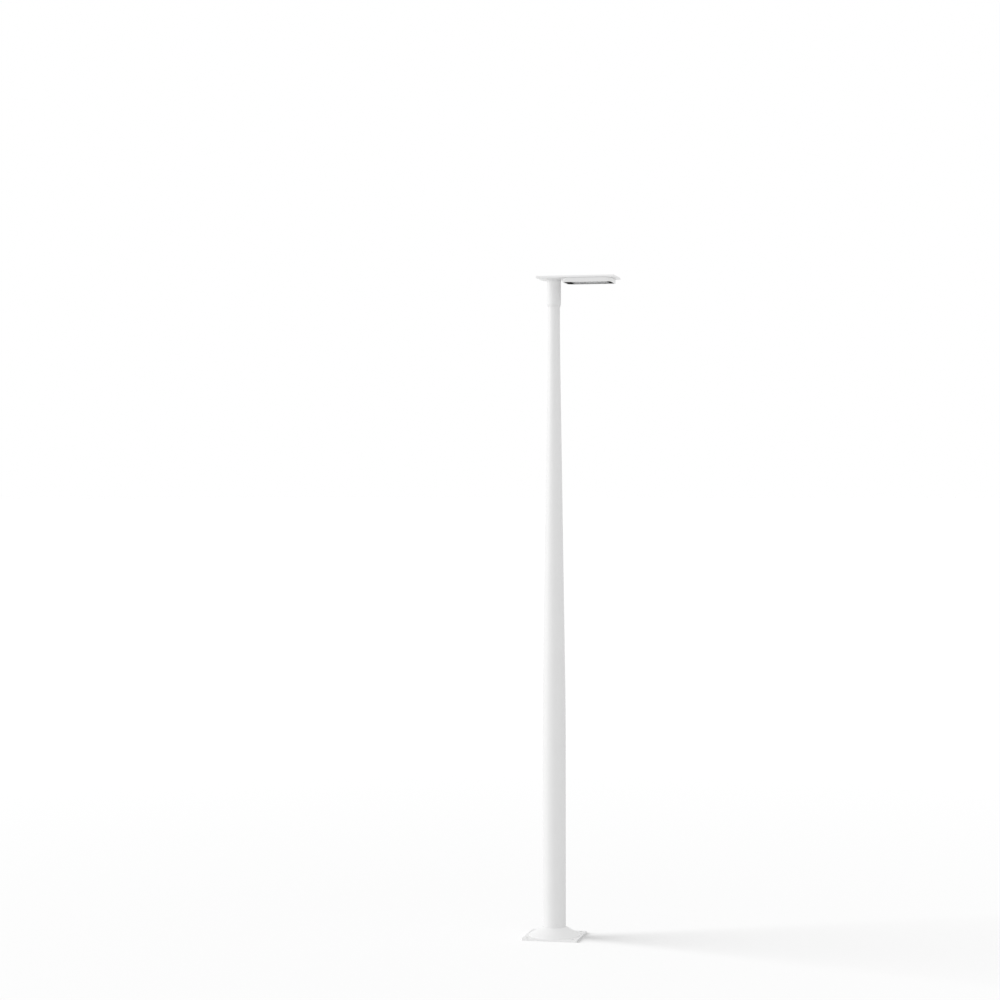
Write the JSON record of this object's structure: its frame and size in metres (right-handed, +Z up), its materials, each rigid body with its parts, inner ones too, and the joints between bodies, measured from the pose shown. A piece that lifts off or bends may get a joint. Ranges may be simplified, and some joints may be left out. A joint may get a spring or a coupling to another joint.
{
  "type": "street light",
  "caption": "Round tapered street light pole on a square foot plate with a cone collar and a flat rectangular head holding a slim downward lamp module.",
  "frame": {"origin": "centre of the foot plate's underside, at ground level on the pole's axis", "axes": "+Z up along the pole, +X the way the head reaches out over the road, +Y the side of the service door"},
  "size_m": [0.5835, 0.355, 4.1865],
  "materials": {
    "white_metal": "fine-textured white powder coat on aluminium",
    "bare_metal": "bare extruded aluminium",
    "black_metal": "matt black paint",
    "stainless": "stainless steel",
    "dark_rubber": "dark grey rubber",
    "light_seal": "light grey silicone",
    "board": "white solder mask",
    "lens": "clear moulded acrylic",
    "glass": "clear toughened glass"
  },
  "bodies": {
    "root": {"base_plate": "white_metal", "base_cone": "white_metal", "cone_seal": "light_seal", "pole_shaft": "white_metal", "door_frame": "bare_metal", "door_gasket": "dark_rubber", "door_cover": "white_metal", "door_screw_lower": "stainless", "door_screw_upper": "stainless", "joint_seal": "light_seal", "head_sleeve": "white_metal", "set_screw_lower": "stainless", "set_screw_upper": "stainless", "head_plate": "white_metal", "module_gasket": "light_seal", "module_housing": "white_metal", "led_board": "board", "lens_plate": "lens", "cover_glass": "glass", "lens_mask": "black_metal", "mask_screws": "stainless"}
  },
  "joints": []
}
